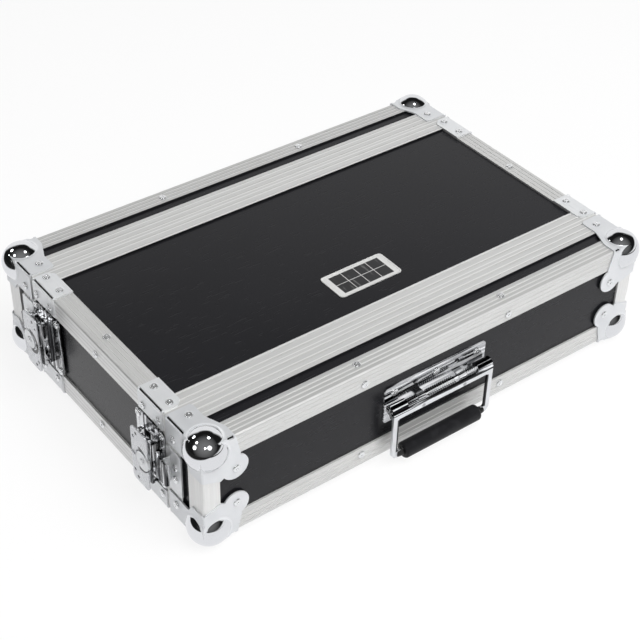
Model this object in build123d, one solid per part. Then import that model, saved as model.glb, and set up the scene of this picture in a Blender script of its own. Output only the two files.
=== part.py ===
from build123d import *
import math
import os

# A two-unit rack case: a sleeve that is open at both ends, two pull-off lids, four butterfly latches
# and a sprung handle on the front lid. Sizes are in millimetres.
# The case frame used below has X across the width, Y from front to back, Z up, and its origin in the
# middle of the width and depth at the level of the lower corner plates. Every piece is moved once,
# when it is saved, so that the finished part stands on Z = 0 with its box centred on X and Y.

# Depth over the steel corner plates; the width and height follow from the rack panels that fit inside
case_depth = 350.0
lid_depth = 57.4

# Sheet and panel thicknesses
plate = 1.5
wall = 2.0
panel = 9.0
inner_flange = 2.0

# Aluminium edge angles
edge_round = 2.2
sleeve_angle_top = 20.0
sleeve_angle_side = 22.0
lid_angle_top = 20.8
lid_angle_front = 21.9
corner_angle_front = 17.5
corner_angle_side = 22.5
lid_angle_end_gap = 2.0
groove_width = 1.0
groove_depth = 0.4
groove_pitch = 5.0
angle_groove_count = 3
first_groove = 5.0

# Aluminium closure frames, with the lid's tongue in the sleeve's pocket
sleeve_band = 18.0
lid_band = 22.8
pocket_depth = 5.5
pocket_floor = 1.4
tongue_length = 5.0
tongue_thickness = 3.0
lid_web = 2.0
sleeve_groove_places = (6.1, 14.6)
lid_groove_places = (3.4, 10.9, 17.9)

# Corner braces on the sleeve
brace_leg = 22.0
brace_start = 2.6
brace_length = 40.0
brace_round = 6.0
brace_rivet_side = 12.3
brace_rivet_drop = 14.7
brace_rivet_first = 9.1
brace_rivet_second = 34.1

# Slots along the folds of the braces and ball corners
slot_width = 2.6
slot_margin = 1.5

# Ball corners on the lids
leg_start = 2.2
leg_narrow = 27.0
leg_wide = 35.0
leg_taper_start = 35.0
leg_taper_end = 15.0
side_leg_drop = 29.0
side_leg_reach = 24.0
side_leg_low = 38.0
side_leg_slope = 6.0
leg_chamfer = 2.5
lobe_radius = 13.5
lobe_side = 34.0
lobe_drop = 36.0
lobe_foot = 45.0
lobe_neck = 6.0
ball_inset = 13.2
ball_radius = 20.0
ball_flat = 0.4
corner_core = 3.3
collar_radius = 18.5
collar_height = 2.0
collar_sink = 1.2
collar_hollow = 0.7
collar_hollow_height = 0.55
leg_rivet_side = 17.0
leg_rivet_back = 43.5
leg_rivet_drop = 19.0
lobe_rivet_side = 35.0
lobe_rivet_drop = 38.0
ball_slot_end = 23.5
front_slot_start = 19.3

# Rivets and screws
rivet_head_radius = 3.9
rivet_head_height = 1.5
rivet_head_round = 1.2
rivet_shank_radius = 1.6
rivet_dimple_radius = 1.2
rivet_dimple_depth = 0.5
rivet_clearance = 0.05
shank_end_clearance = 0.02
angle_rivet_inset = 14.0
angle_rivet_x = 86.0
screw_head_radius = 3.6
screw_head_height = 2.2
screw_head_round = 1.3
screw_recess_width = 0.8
screw_shank_radius = 1.9
screw_length = 8.0

# Nineteen-inch rack strips inside the sleeve, two units high
rack_panel_width = 482.6
rack_ear = 16.3
rack_hole_inset = 8.75
rack_side_room = 6.2
rack_height_room = 3.1
rack_unit = 44.45
rack_units = 2
rack_hole_radius = 3.25
rack_hole_first = 6.35
rack_hole_steps = (0.0, 15.875, 31.75)
rail_setback = 18.2
rail_depth = 20.0
rail_gap = 2.0
rail_screw_rise = 30.0

# Label plate on the top panel, left blank
label_length = 74.0
label_width = 36.0
label_thickness = 0.8
label_round = 4.0
label_rim = 1.5
label_recess = 0.3
label_y = -58.0

# Butterfly latches, measured from the split line and from the latch's mid-height
base_start = 1.2
base_length = 47.4
base_brace_gap = 3.5
base_rivet_first = 5.0
base_rivet_last = 43.1
base_rivet_inset = 4.2
housing_start = 7.1
housing_length = 23.5
housing_rivet_gap = 0.4
housing_top = 12.5
housing_sheet = 1.5
housing_window_margin = 3.0
twist_setback = 14.6
rotor_radius = 10.0
rotor_thickness = 2.4
rotor_shoulder_radius = 6.0
rotor_shoulder = 1.8
rotor_shaft_radius = 2.9
rotor_flange_radius = 5.0
rotor_flange_thickness = 1.2
rotor_gap = 0.3
shaft_clearance = 0.05
pivot_head_radius = 3.0
pivot_head_height = 1.4
pivot_head_round = 1.0
wing_thickness = 1.2
wing_base_step = 1.5
wing_back = 18.0
wing_front = 9.0
wing_round = 5.0
wing_notch_gap = 1.3
wing_pin_radius = 0.5
wing_knuckle_radius = 1.1
wing_pin_offset = 1.25
wing_pin_end_gap = 0.6
wing_pin_root = 1.0
wing_lift = 0.2
wing_knuckle_length = 4.6
wing_hole_radius = 1.7
wing_hole_back = 14.0
wing_hole_height = 20.0
hook_pin_setback = 2.6
hook_pin_height = 8.0
hook_pin_radius = 1.3
hook_knuckle_radius = 2.5
hook_half_height = 13.0
hook_reach = 14.0
hook_thickness = 1.6
claw_thickness = 1.6
claw_drop = 1.3
claw_round = 1.3
lug_thickness = 2.5
lug_gap = 0.5
keeper_start = 1.0
keeper_length = 23.4
keeper_leg_gap = 4.5
keeper_round = 3.0
lip_start = 5.8
lip_thickness = 1.2
lip_height = 7.9
lip_roll_radius = 1.0
lip_half_height = 14.0
keeper_rivet_place = 15.0
keeper_rivet_half = 7.0

# Sprung handle on the front lid
handle_width = 122.0
handle_plate_bottom = 40.0
handle_plate_top = 81.0
handle_plate_round = 3.0
handle_rivet_spacing = 50.0
handle_rivet_drop = 7.5
handle_hole_radius = 3.0
axle_height = 61.0
axle_stand = 7.5
axle_radius = 2.2
tab_width = 9.0
tab_radius = 3.8
bail_inset = 0.5
bail_bar = 7.5
bail_leg = 6.5
bail_thickness = 2.5
bail_stand = 4.0
bail_top_gap = 1.0
bail_round = 7.0
bail_window_round = 2.3
bail_knuckle_radius = 5.5
bail_knuckle_length = 17.5
grip_radius = 8.2
grip_length = 93.0
grip_height = 7.6
grip_round = 2.5
spring_wire = 1.2
spring_mean_radius = 3.1
spring_pitch = 2.4
middle_spring_room = 3.1
side_spring_room = 1.2

# Places worked out from the sizes above
room_width = rack_panel_width + 2 * rack_side_room
room_height = rack_units * rack_unit + rack_height_room
wall_stack = panel + wall + plate
case_width = room_width + 2 * wall_stack
case_height = room_height + 2 * wall_stack
rack_opening = rack_panel_width - 2 * rack_ear
rack_hole_span = rack_panel_width - 2 * rack_hole_inset
plate_x = case_width / 2
plate_y = case_depth / 2
skin_x = plate_x - plate
skin_y = plate_y - plate
skin_top = case_height - plate
skin_bottom = plate
mid_z = case_height / 2
panel_x = skin_x - wall
panel_y = skin_y - wall
panel_top = skin_top - wall
panel_bottom = skin_bottom + wall
room_x = panel_x - panel
room_top = panel_top - panel
room_bottom = panel_bottom + panel
split_y = plate_y - lid_depth
sleeve_end = split_y - pocket_depth - pocket_floor
ring_depth = wall + panel + inner_flange

# The latches fill the height between the braces, and the keepers the height between the ball corners' legs
base_half_height = mid_z - brace_leg - base_brace_gap
base_rivet_half = base_half_height - base_rivet_inset
housing_half_height = base_rivet_half - rivet_head_radius - housing_rivet_gap
wing_half_height = base_half_height - wing_base_step
keeper_half_height = mid_z - side_leg_drop - keeper_leg_gap

# The bail is as wide as the backplate, and each spring has as many turns as fit beside the tabs
bail_width = handle_width - 2 * bail_inset
tab_x = handle_rivet_spacing / 2
middle_spring_reach = 2 * tab_x - tab_width - 2 * middle_spring_room
side_spring_reach = bail_width / 2 - bail_knuckle_length - tab_x - tab_width / 2 - side_spring_room
middle_spring_turns = int(middle_spring_reach / spring_pitch)
side_spring_turns = int(side_spring_reach / spring_pitch)

# How far cutters run past a surface, and how far helper blocks run past a corner
over = 1.0
fold_slack = 40.0


def block(x0, x1, y0, y1, z0, z1):
    """A box between two corners."""
    size = Box(abs(x1 - x0), abs(y1 - y0), abs(z1 - z0))
    return Pos((x0 + x1) / 2, (y0 + y1) / 2, (z0 + z1) / 2) * size


def rod(start, end, radius):
    """A round bar from one point to another."""
    line = Vector(*end) - Vector(*start)
    plane = Plane(origin=start, z_dir=line)
    return plane * Cylinder(radius, line.length, align=(Align.CENTER, Align.CENTER, Align.MIN))


def across_x(shape):
    return mirror(shape, about=Plane.YZ)


def across_y(shape):
    return mirror(shape, about=Plane.XZ)


def across_z(shape):
    return mirror(shape, about=Plane.XY.offset(mid_z))


def left_and_right(shapes):
    return shapes + [across_x(shape) for shape in shapes]


def top_and_bottom(shapes):
    return shapes + [across_z(shape) for shape in shapes]


def outline_face(points, plane):
    """A flat face with straight sides on a plane, from its corners in that plane."""
    return plane * make_face(Polyline(*points, close=True))


# Rivets and screws: each place is a point on the outer surface, the outward direction and a length

def unit(axis, sign):
    direction = [0.0, 0.0, 0.0]
    direction["xyz".index(axis)] = sign
    return tuple(direction)


def mirrored_place(place, axis):
    point, direction, length = place
    middle = {"x": 0.0, "y": 0.0, "z": mid_z}[axis]
    index = "xyz".index(axis)
    new_point = list(point)
    new_direction = list(direction)
    new_point[index] = 2 * middle - point[index]
    new_direction[index] = -direction[index]
    return tuple(new_point), tuple(new_direction), length


def mirrored_places(places, axes):
    """The places together with their mirror images about each named axis in turn."""
    every = list(places)
    for axis in axes:
        every += [mirrored_place(place, axis) for place in every]
    return every


def rivet_model(length):
    """A blind rivet: a domed head with a small dimple, and a shank below it."""
    head = Cylinder(rivet_head_radius, rivet_head_height, align=(Align.CENTER, Align.CENTER, Align.MIN))
    head = fillet(head.edges().sort_by(Axis.Z)[-1], rivet_head_round)
    dimple = Cylinder(rivet_dimple_radius, 2 * rivet_dimple_depth)
    head -= Pos(0, 0, rivet_head_height) * dimple
    shank = Cylinder(rivet_shank_radius, length, align=(Align.CENTER, Align.CENTER, Align.MAX))
    return head + shank


def screw_model(length):
    """A pan-head screw with a cross recess."""
    head = Cylinder(screw_head_radius, screw_head_height, align=(Align.CENTER, Align.CENTER, Align.MIN))
    head = fillet(head.edges().sort_by(Axis.Z)[-1], screw_head_round)
    recess = Box(screw_head_radius, screw_recess_width, screw_head_height)
    recess += Box(screw_recess_width, screw_head_radius, screw_head_height)
    head -= Pos(0, 0, screw_head_height) * recess
    shank = Cylinder(screw_shank_radius, length, align=(Align.CENTER, Align.CENTER, Align.MAX))
    return head + shank


def set_fasteners(places, model):
    """One fastener at each place, standing along its outward direction."""
    made = {}
    fasteners = []
    for point, direction, length in places:
        if length not in made:
            made[length] = model(length)
        fasteners.append(Plane(origin=point, z_dir=direction) * made[length])
    return fasteners


def drill(shape, places, radius):
    """Cuts a hole with running room for each fastener that reaches the shape."""
    box = shape.bounding_box()
    tools = []
    for point, direction, length in places:
        start = Vector(*point) + Vector(*direction) * over
        end = Vector(*point) - Vector(*direction) * (length + shank_end_clearance)
        near = [min(start.X, end.X), min(start.Y, end.Y), min(start.Z, end.Z)]
        far = [max(start.X, end.X), max(start.Y, end.Y), max(start.Z, end.Z)]
        low = [box.min.X - radius, box.min.Y - radius, box.min.Z - radius]
        high = [box.max.X + radius, box.max.Y + radius, box.max.Z + radius]
        if all(near[i] <= high[i] and far[i] >= low[i] for i in range(3)):
            tools.append(rod(tuple(start), tuple(end), radius))
    if tools:
        shape = shape - tools
    return shape


full_stack = plate + wall + panel
angle_stack = wall + panel


def brace_places():
    """Four rivets in each corner brace, on the front left brace at the top."""
    places = []
    for step in (brace_rivet_first, brace_rivet_second):
        y = -(split_y - step)
        places.append(((-(plate_x - brace_rivet_side), y, case_height), unit("z", 1), full_stack))
        places.append(((-plate_x, y, case_height - brace_rivet_drop), unit("x", -1), full_stack))
    return mirrored_places(places, "xyz")


def sleeve_angle_places():
    """A rivet half way along each flange of the sleeve's edge angles."""
    top = ((-(plate_x - angle_rivet_inset), 0.0, skin_top), unit("z", 1), angle_stack)
    side = ((-skin_x, 0.0, case_height - angle_rivet_inset - plate), unit("x", -1), angle_stack)
    return mirrored_places([top, side], "xz")


def latch_base_places():
    """Four rivets in each latch base; the pair by the split grips the closure's outer flange only."""
    places = []
    for step, length in ((base_rivet_first, plate + wall), (base_rivet_last, full_stack)):
        y = -(split_y - step)
        places.append(((-plate_x, y, mid_z + base_rivet_half), unit("x", -1), length))
    return mirrored_places(places, "xyz")


def ball_corner_places():
    """Three rivets in each ball corner of the front lid."""
    leg_y = -(plate_y - leg_rivet_back)
    places = [
        ((-(plate_x - leg_rivet_side), leg_y, case_height), unit("z", 1), full_stack),
        ((-plate_x, leg_y, case_height - leg_rivet_drop), unit("x", -1), full_stack),
        ((-(plate_x - lobe_rivet_side), -plate_y, case_height - lobe_rivet_drop), unit("y", -1), full_stack),
    ]
    return mirrored_places(places, "xz")


def lid_angle_places():
    """Rivets in the long edge angles of the front lid."""
    top = ((-angle_rivet_x, -(plate_y - angle_rivet_inset), skin_top), unit("z", 1), angle_stack)
    front = ((-angle_rivet_x, -skin_y, case_height - angle_rivet_inset - plate), unit("y", -1), angle_stack)
    return mirrored_places([top, front], "xz")


def keeper_places():
    """Two rivets in each keeper of the front lid."""
    y = -(split_y + keeper_rivet_place)
    place = ((-plate_x, y, mid_z + keeper_rivet_half), unit("x", -1), full_stack)
    return mirrored_places([place], "xz")


def handle_places():
    """Three rivets along the top of the handle's backplate."""
    z = handle_plate_top - handle_rivet_drop
    y = -(panel_y + plate)
    return [((step * handle_rivet_spacing, y, z), unit("y", -1), plate + panel) for step in (-1, 0, 1)]


def rail_screw_places():
    """Two screws in each rack strip, driven outwards into the side panels."""
    y = -(split_y - rail_setback - rail_depth / 2)
    place = ((room_x - wall, y, mid_z + rail_screw_rise), unit("x", -1), screw_length)
    return mirrored_places([place], "zxy")


sleeve_places = brace_places() + sleeve_angle_places()
lid_places = ball_corner_places() + lid_angle_places() + keeper_places()
shank_hole = rivet_shank_radius + rivet_clearance
screw_hole = screw_shank_radius + rivet_clearance


# The sleeve: four panels, edge angles and closure frames

def sleeve_panels():
    top = block(-panel_x, panel_x, -sleeve_end, sleeve_end, room_top, panel_top)
    side = block(-panel_x, -room_x, -sleeve_end, sleeve_end, room_bottom, room_top)
    holes = sleeve_places + latch_base_places()
    top = drill(top, holes, shank_hole)
    side = drill(side, holes, shank_hole)
    side = drill(side, rail_screw_places(), screw_hole)
    return top, across_z(top), side, across_x(side)


def grooves_along_y(edge, reach, z_level):
    """Cutters for the fine grooves in a top flange that runs along Y, counted in from its edge."""
    cutters = []
    for step in range(angle_groove_count):
        x = edge + first_groove + step * groove_pitch
        cutters.append(block(x, x + groove_width, -reach, reach, z_level - groove_depth, z_level + over))
    return cutters


def sleeve_angle():
    """The upper left edge angle of the sleeve."""
    length = split_y - sleeve_band
    top = block(-skin_x, -skin_x + sleeve_angle_top, -length, length, skin_top - wall, skin_top)
    side = block(-skin_x, -skin_x + wall, -length, length, skin_top - sleeve_angle_side, skin_top)
    angle = top + side
    fold = angle.edges().filter_by(Axis.Y).sort_by_distance((-skin_x, 0, skin_top))[0]
    angle = fillet(fold, edge_round)
    angle = angle - grooves_along_y(-skin_x, length + over, skin_top)
    return drill(angle, sleeve_places, shank_hole)


def ring(inset0, inset1, y0, y1, rounded):
    """A rectangular ring about the case, between two depths below its aluminium skin."""
    plane = Plane(origin=(0, y0, mid_z), x_dir=(1, 0, 0), z_dir=(0, 1, 0))
    outer_x = 2 * (skin_x - inset0)
    outer_z = skin_top - skin_bottom - 2 * inset0
    inner_x = 2 * (skin_x - inset1)
    inner_z = skin_top - skin_bottom - 2 * inset1
    outer = RectangleRounded(outer_x, outer_z, edge_round) if rounded else Rectangle(outer_x, outer_z)
    return extrude(plane * (outer - Rectangle(inner_x, inner_z)), amount=y1 - y0)


def mitred_lengths(frame, y0, y1):
    """Cuts a ring about the case into its four lengths, mitred at the corners."""
    inner_x = skin_x - ring_depth
    inner_top = skin_top - ring_depth
    inner_bottom = skin_bottom + ring_depth
    outer = [(-skin_x, skin_bottom), (skin_x, skin_bottom), (skin_x, skin_top), (-skin_x, skin_top)]
    inner = [(-inner_x, inner_bottom), (inner_x, inner_bottom), (inner_x, inner_top), (-inner_x, inner_top)]
    plane = Plane(origin=(0, y0, 0), x_dir=(1, 0, 0), z_dir=(0, -1, 0))
    lengths = []
    for side in range(4):
        after = (side + 1) % 4
        corners = [outer[side], outer[after], inner[after], inner[side]]
        wedge = extrude(outline_face(corners, plane), amount=y1 - y0, dir=(0, 1, 0))
        lengths.append(frame & wedge)
    return lengths


def front_sleeve_closure():
    """The closure frame at the front of the sleeve: a channel for the panel and a pocket before it."""
    y0 = -split_y
    y1 = y0 + sleeve_band
    frame = ring(0, wall, y0, y1, True)
    frame += ring(wall, wall + panel, y0 + pocket_depth, y0 + pocket_depth + pocket_floor, False)
    frame += ring(wall + panel, ring_depth, y0, y1, False)
    for place in sleeve_groove_places:
        frame -= ring(-over, groove_depth, y0 + place, y0 + place + groove_width, False)
    lengths = mitred_lengths(frame, y0, y1)
    return [drill(length, sleeve_places + latch_base_places(), shank_hole) for length in lengths]


def corner_brace():
    """The bent steel brace over the upper left edge at the front of the sleeve."""
    near = -(split_y - brace_start)
    far = near + brace_length
    top_plane = Plane(origin=(0, 0, skin_top))
    inner = -plate_x + brace_leg
    top_points = [
        (-plate_x, near), (inner - brace_round, near), (inner, near + brace_round),
        (inner, far), (-plate_x, far),
    ]
    top = extrude(outline_face(top_points, top_plane), amount=plate)
    side_plane = Plane(origin=(-plate_x, 0, 0), x_dir=(0, 1, 0), z_dir=(1, 0, 0))
    low = case_height - brace_leg
    side_points = [(near, case_height), (far, case_height), (far, low), (near, low)]
    side = extrude(outline_face(side_points, side_plane), amount=plate)
    brace = top + side
    middle = (-plate_x, (near + far) / 2, case_height)
    fold = brace.edges().filter_by(Axis.Y).sort_by_distance(middle)[0]
    brace = fillet(fold, edge_round)
    slot = block(-plate_x - over, -plate_x + slot_width, near + slot_margin, far - slot_margin,
                 case_height - slot_width, case_height + over)
    return drill(brace - slot, sleeve_places, shank_hole)


# The lid, modelled at the front and mirrored for the rear

def lid_panel(extra_places):
    face = block(-room_x, room_x, -panel_y, -panel_y + panel, room_bottom, room_top)
    return drill(face, lid_places + extra_places, shank_hole)


def lid_walls():
    back = -(split_y + lid_web)
    top = block(-panel_x, panel_x, -panel_y, back, room_top, panel_top)
    side = block(-panel_x, -room_x, -panel_y, back, room_bottom, room_top)
    walls = [top, across_z(top), side, across_x(side)]
    return [drill(piece, lid_places, shank_hole) for piece in walls]


def lid_closure():
    """The closure frame of the front lid, with the tongue that enters the sleeve's pocket."""
    y1 = -split_y
    y0 = y1 - lid_band
    tongue_inset = wall + (panel - tongue_thickness) / 2
    frame = ring(0, wall, y0, y1, True)
    frame += ring(wall, wall + panel, y1 - lid_web, y1, False)
    frame += ring(wall + panel, ring_depth, y0, y1, False)
    for place in lid_groove_places:
        frame -= ring(-over, groove_depth, y1 - place - groove_width, y1 - place, False)
    frame += ring(tongue_inset, tongue_inset + tongue_thickness, y1, y1 + tongue_length, False)
    lengths = mitred_lengths(frame, y0, y1 + tongue_length)
    return [drill(length, lid_places, shank_hole) for length in lengths]


def lid_edge_angles():
    """The long angles over the top and bottom front edges of the lid."""
    end_x = skin_x - lid_angle_end_gap
    top = block(-end_x, end_x, -skin_y, -skin_y + lid_angle_top, skin_top - wall, skin_top)
    corner_x = skin_x - corner_angle_front
    front = block(-corner_x, corner_x, -skin_y, -skin_y + wall, skin_top - lid_angle_front, skin_top)
    angle = top + front
    fold = angle.edges().filter_by(Axis.X).sort_by_distance((0, -skin_y, skin_top))[0]
    angle = fillet(fold, edge_round)
    cutters = []
    for step in range(angle_groove_count):
        place = first_groove + step * groove_pitch
        y = -skin_y + place
        z = skin_top - place - groove_width
        floor = skin_top - groove_depth
        cutters.append(block(-plate_x, plate_x, y, y + groove_width, floor, skin_top + over))
        cutters.append(block(-plate_x, plate_x, -plate_y, -skin_y + groove_depth, z, z + groove_width))
    angle = drill(angle - cutters, lid_places, shank_hole)
    return top_and_bottom([angle])


def lid_corner_angles():
    """The upright angles at the lid's left and right corners, between the long angles."""
    low = panel_bottom
    high = panel_top
    front = block(-skin_x, -skin_x + corner_angle_front, -skin_y, -skin_y + wall, low, high)
    side = block(-skin_x, -skin_x + wall, -skin_y, -skin_y + corner_angle_side, low, high)
    angle = front + side
    fold = angle.edges().filter_by(Axis.Z).sort_by_distance((-skin_x, -skin_y, mid_z))[0]
    angle = drill(fillet(fold, edge_round), lid_places, shank_hole)
    return left_and_right([angle])


def collar(axis):
    """The pressed swelling about the ball on one face: a disc whose height falls off in a hollow curve."""
    level = plate_level[axis]
    throat_radius = math.sqrt(ball_radius ** 2 - (ball_inset + collar_height) ** 2)
    foot = (collar_radius, 0)
    throat = (throat_radius, collar_height)
    hollow = ((collar_radius + throat_radius) / 2 - collar_hollow, collar_hollow_height)
    curve = ThreePointArc(foot, hollow, throat)
    rest = Polyline(throat, (0, collar_height), (0, -collar_sink), (collar_radius, -collar_sink), foot)
    profile = Plane.XZ * make_face(Wire([curve] + list(rest.edges())))
    disc = revolve(profile, Axis.Z)
    return Plane(origin=level[0], z_dir=level[1]) * disc


ball_centre = (-plate_x + ball_inset, -plate_y + ball_inset, case_height - ball_inset)
plate_level = {
    "x": ((-plate_x, ball_centre[1], ball_centre[2]), (-1, 0, 0)),
    "y": ((ball_centre[0], -plate_y, ball_centre[2]), (0, -1, 0)),
    "z": ((ball_centre[0], ball_centre[1], case_height), (0, 0, 1)),
}


def mitred_collar(axis):
    """The collar of one face, cut at forty-five degrees where it meets the other two."""
    normals = {"x": (-1, 0, 0), "y": (0, -1, 0), "z": (0, 0, 1)}
    corner = (-plate_x, -plate_y, case_height)
    piece = collar(axis)
    for other in "xyz":
        if other != axis:
            normal = Vector(*normals[axis]) - Vector(*normals[other])
            piece = split(piece, bisect_by=Plane(origin=corner, z_dir=normal), keep=Keep.TOP)
    return piece


def ball_corner():
    """The upper left ball corner of the front lid: three riveted legs and a ball in place of its point."""
    near = -(split_y + leg_start)
    front = -plate_y
    left = -plate_x
    top_plane = Plane(origin=(0, 0, skin_top))
    top_points = [
        (left, near), (left + leg_narrow - leg_chamfer, near), (left + leg_narrow, near - leg_chamfer),
        (left + leg_narrow, front + leg_taper_start), (left + leg_wide, front + leg_taper_end),
        (left + leg_wide, front), (left, front),
    ]
    top = extrude(outline_face(top_points, top_plane), amount=plate)
    side_plane = Plane(origin=(left, 0, 0), x_dir=(0, 1, 0), z_dir=(1, 0, 0))
    upper = case_height - side_leg_drop
    lower = case_height - side_leg_low
    side_points = [
        (near, case_height), (near, upper), (front + side_leg_reach, upper),
        (front + side_leg_reach - side_leg_slope, lower), (front, lower), (front, case_height),
    ]
    side = extrude(outline_face(side_points, side_plane), amount=plate)
    front_plane = Plane(origin=(0, front, 0), x_dir=(1, 0, 0), z_dir=(0, -1, 0))
    lobe_z = case_height - lobe_drop
    front_points = [
        (left, case_height), (left + leg_wide, case_height),
        (left + lobe_side + lobe_neck, lobe_z + lobe_radius),
        (left + lobe_side, lobe_z), (left + corner_angle_front + plate, case_height - lobe_foot),
        (left, case_height - side_leg_low),
    ]
    front_leg = extrude(outline_face(front_points, front_plane), amount=-plate)
    lobe = rod((left + lobe_side, front, lobe_z), (left + lobe_side, front + plate, lobe_z), lobe_radius)
    shell = rounded_corner() & (top + side + front_leg + lobe)
    low = case_height - slot_width
    high = case_height + over
    along_side = block(left - over, left + slot_width, near - slot_margin, front + ball_slot_end, low, high)
    slot_end = left + leg_wide - slot_margin
    along_front = block(left + front_slot_start, slot_end, front - over, front + slot_width, low, high)
    shell = shell - along_side - along_front
    shell = shell + [mitred_collar(axis) for axis in "xyz"]
    point = block(left - fold_slack, ball_centre[0], front - fold_slack, ball_centre[1],
                  ball_centre[2], case_height + fold_slack)
    ball = Pos(*ball_centre) * Sphere(ball_radius)
    flat = block(left - fold_slack, left + fold_slack, front - fold_slack, front + fold_slack,
                 ball_centre[2] + ball_radius - ball_flat, case_height + fold_slack)
    shell = (shell - point) + (ball - flat)
    hollow = block(left + plate, left + fold_slack * 2, front + plate, front + fold_slack * 2,
                   mid_z, skin_top)
    core = block(left, left + corner_core, front, front + corner_core, case_height - corner_core, case_height)
    inside = Pos(*ball_centre) * Sphere(ball_radius - plate)
    return drill(shell - (hollow - core) - inside, lid_places, shank_hole)


def rounded_corner():
    """A solid block that fills the upper left front corner of the case, rounded along its folds."""
    corner = (-plate_x, -plate_y, case_height)
    far_x = -plate_x + 2 * fold_slack
    far_y = -plate_y + 2 * fold_slack
    solid = block(-plate_x, far_x, -plate_y, far_y, mid_z, case_height)
    folds = []
    for axis in (Axis.X, Axis.Y, Axis.Z):
        folds.append(solid.edges().filter_by(axis).sort_by_distance(corner)[0])
    return fillet(folds, edge_round)


# The rack strips inside the sleeve

def rack_strip():
    """The left front strip: an angle with the standard hole pattern in its front flange."""
    y0 = -(split_y - rail_setback)
    y1 = y0 + rail_depth
    low = room_bottom + rail_gap
    high = room_top - rail_gap
    front = block(-room_x, -rack_opening / 2, y0, y0 + wall, low, high)
    side = block(-room_x, -room_x + wall, y0, y1, low, high)
    strip = front + side
    base = mid_z - rack_units * rack_unit / 2
    for count in range(rack_units):
        for step in rack_hole_steps:
            z = base + count * rack_unit + rack_hole_first + step
            x = -rack_hole_span / 2
            strip -= rod((x, y0 - over, z), (x, y0 + wall + over, z), rack_hole_radius)
    return drill(strip, rail_screw_places(), screw_hole)


def label_plate():
    blank = extrude(RectangleRounded(label_length, label_width, label_round), amount=label_thickness)
    inner_length = label_length - 2 * label_rim
    inner_width = label_width - 2 * label_rim
    inner = RectangleRounded(inner_length, inner_width, label_round - label_rim)
    recess = extrude(inner, amount=label_recess)
    blank -= Pos(0, 0, label_thickness - label_recess) * recess
    return Pos(0, label_y, panel_top) * blank


# The butterfly latch at the front left; the others are its mirror images.
# a is the distance from the middle of the case along Y, v the height from the latch's middle,
# and w the stand-off from the aluminium skin of the side.

def latch_box(a0, a1, v0, v1, w0, w1):
    return block(-skin_x - w1, -skin_x - w0, -a1, -a0, mid_z + v0, mid_z + v1)


def latch_rod(a0, v0, w0, a1, v1, w1, radius):
    return rod((-skin_x - w0, -a0, mid_z + v0), (-skin_x - w1, -a1, mid_z + v1), radius)


twist_a = split_y - twist_setback
rotor_under = housing_top + rotor_gap + rotor_shoulder
rotor_over = rotor_under + rotor_thickness
wing_w = (rotor_under + rotor_over) / 2 + wing_lift
hook_pin_a = split_y - hook_pin_setback


def latch_base():
    """The riveted base: a plate, the raised housing that carries the rotor, and the hook's pin in lugs."""
    start = split_y - base_start
    plate_piece = latch_box(start - base_length, start, -base_half_height, base_half_height, 0, plate)
    corners = plate_piece.edges().filter_by(Axis.X)
    base = fillet(corners, wing_round)
    housing_a1 = split_y - housing_start
    housing_a0 = housing_a1 - housing_length
    half = housing_half_height
    sheet = housing_sheet
    housing = latch_box(housing_a0, housing_a1, -half, half, plate, housing_top)
    inner_a = housing_a0 + sheet
    inner_v = half - sheet
    housing -= latch_box(inner_a, housing_a1 + over, -inner_v, inner_v, plate, housing_top - sheet)
    margin = housing_window_margin
    low_w = plate + margin
    high_w = housing_top - margin
    for side in (-1, 1):
        near_v = side * margin
        far_v = side * (half - margin)
        housing -= latch_box(housing_a0 - over, inner_a + over, near_v, far_v, low_w, high_w)
        near_v = side * (inner_v - over)
        far_v = side * (half + over)
        housing -= latch_box(housing_a0 + margin, housing_a1 - margin, near_v, far_v, low_w, high_w)
    bore_radius = rotor_shaft_radius + shaft_clearance
    housing -= latch_rod(twist_a, 0, housing_top - sheet - over, twist_a, 0, housing_top + over, bore_radius)
    base = base + housing
    lug_inner = hook_half_height + lug_gap
    lug_radius = hook_pin_setback - base_start
    w = hook_pin_height
    for side in (-1, 1):
        near_v = side * lug_inner
        far_v = side * (lug_inner + lug_thickness)
        base += latch_box(hook_pin_a - hook_knuckle_radius, start, near_v, far_v, plate, w)
        base += latch_rod(hook_pin_a, near_v, w, hook_pin_a, far_v, w, lug_radius)
    reach = lug_inner + lug_thickness / 2
    pin = latch_rod(hook_pin_a, -reach, w, hook_pin_a, reach, w, hook_pin_radius)
    return drill(base + pin, latch_base_places(), shank_hole)


def latch_hook():
    """The hook plate: a knuckle on the base's pin, a flat plate and a claw behind the keeper's lip."""
    w = hook_pin_height
    top_w = w + hook_knuckle_radius
    bottom_w = top_w - hook_thickness
    claw_a = hook_pin_a + hook_reach
    end_a = claw_a + claw_thickness
    half = hook_half_height
    hook = latch_rod(hook_pin_a, -half, w, hook_pin_a, half, w, hook_knuckle_radius)
    hook += latch_box(hook_pin_a, end_a, -half, half, bottom_w, top_w)
    hook += latch_box(claw_a, end_a, -half, half, w - claw_drop, top_w)
    bend = hook.edges().filter_by(Axis.Z).sort_by_distance((-skin_x - top_w, -end_a, mid_z))[0]
    hook = fillet(bend, claw_round)
    far = half + over
    return hook - latch_rod(hook_pin_a, -far, w, hook_pin_a, far, w, hook_pin_radius + shaft_clearance)


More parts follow.
